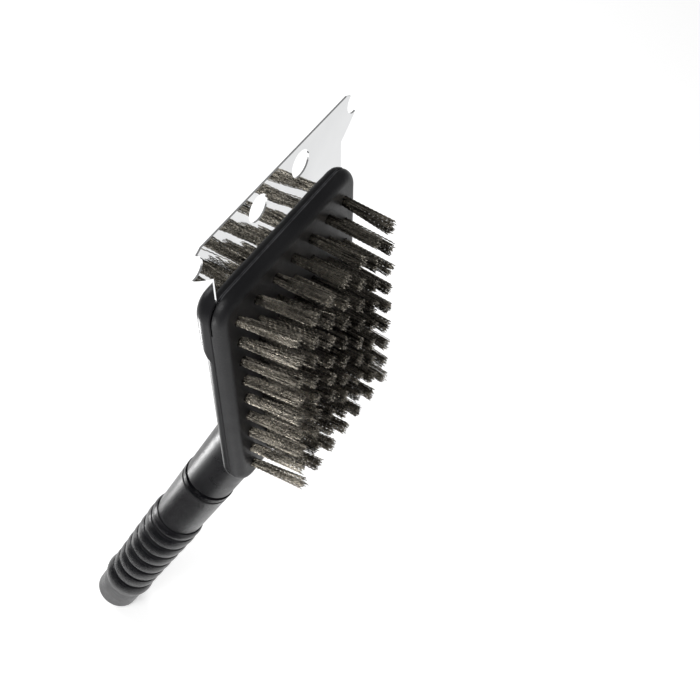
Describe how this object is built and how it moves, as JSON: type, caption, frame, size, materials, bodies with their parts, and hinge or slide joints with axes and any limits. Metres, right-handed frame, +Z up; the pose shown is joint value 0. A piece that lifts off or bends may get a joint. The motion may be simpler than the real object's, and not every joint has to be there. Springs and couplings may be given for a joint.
{
  "type": "grill cleaning brush",
  "caption": "Grill brush with a wire-bristled head, a hooked steel scraper plate, a cranked neck and a ribbed grip on a tubular handle.",
  "frame": {"origin": "middle of the brush's footprint, at the level of its lowest point, with the brush standing on the end of its handle", "axes": "+Z up the brush towards the scraper, -Y the way the bristles point, X across the head"},
  "size_m": [0.0846, 0.1846, 0.4518],
  "materials": {
    "head_plastic": "satin moulded plastic, dark grey",
    "block_plastic": "satin moulded plastic, near black",
    "steel": "polished stainless sheet",
    "collar_plastic": "gloss black plastic",
    "tube_plastic": "satin moulded plastic, dark grey",
    "grip_rubber": "smooth black rubber",
    "cap_plastic": "satin moulded plastic, grey",
    "wire": "crimped steel wire, dull",
    "staple_wire": "plain steel wire"
  },
  "bodies": {
    "root": {"head_shell": "head_plastic", "bristle_block": "block_plastic", "scraper_plate": "steel", "neck_collar": "collar_plastic", "handle_tube": "tube_plastic", "grip_sleeve": "grip_rubber", "end_cap": "cap_plastic", "tuft_row_1": "wire", "tuft_row_2": "wire", "tuft_row_3": "wire", "tuft_row_4": "wire", "tuft_row_5": "wire", "tuft_row_6": "wire", "tuft_row_7": "wire", "tuft_row_8": "wire", "tuft_row_9": "wire", "staple_row_1": "staple_wire", "staple_row_2": "staple_wire", "staple_row_3": "staple_wire", "staple_row_4": "staple_wire", "staple_row_5": "staple_wire", "staple_row_6": "staple_wire", "staple_row_7": "staple_wire", "staple_row_8": "staple_wire", "staple_row_9": "staple_wire"}
  },
  "joints": []
}
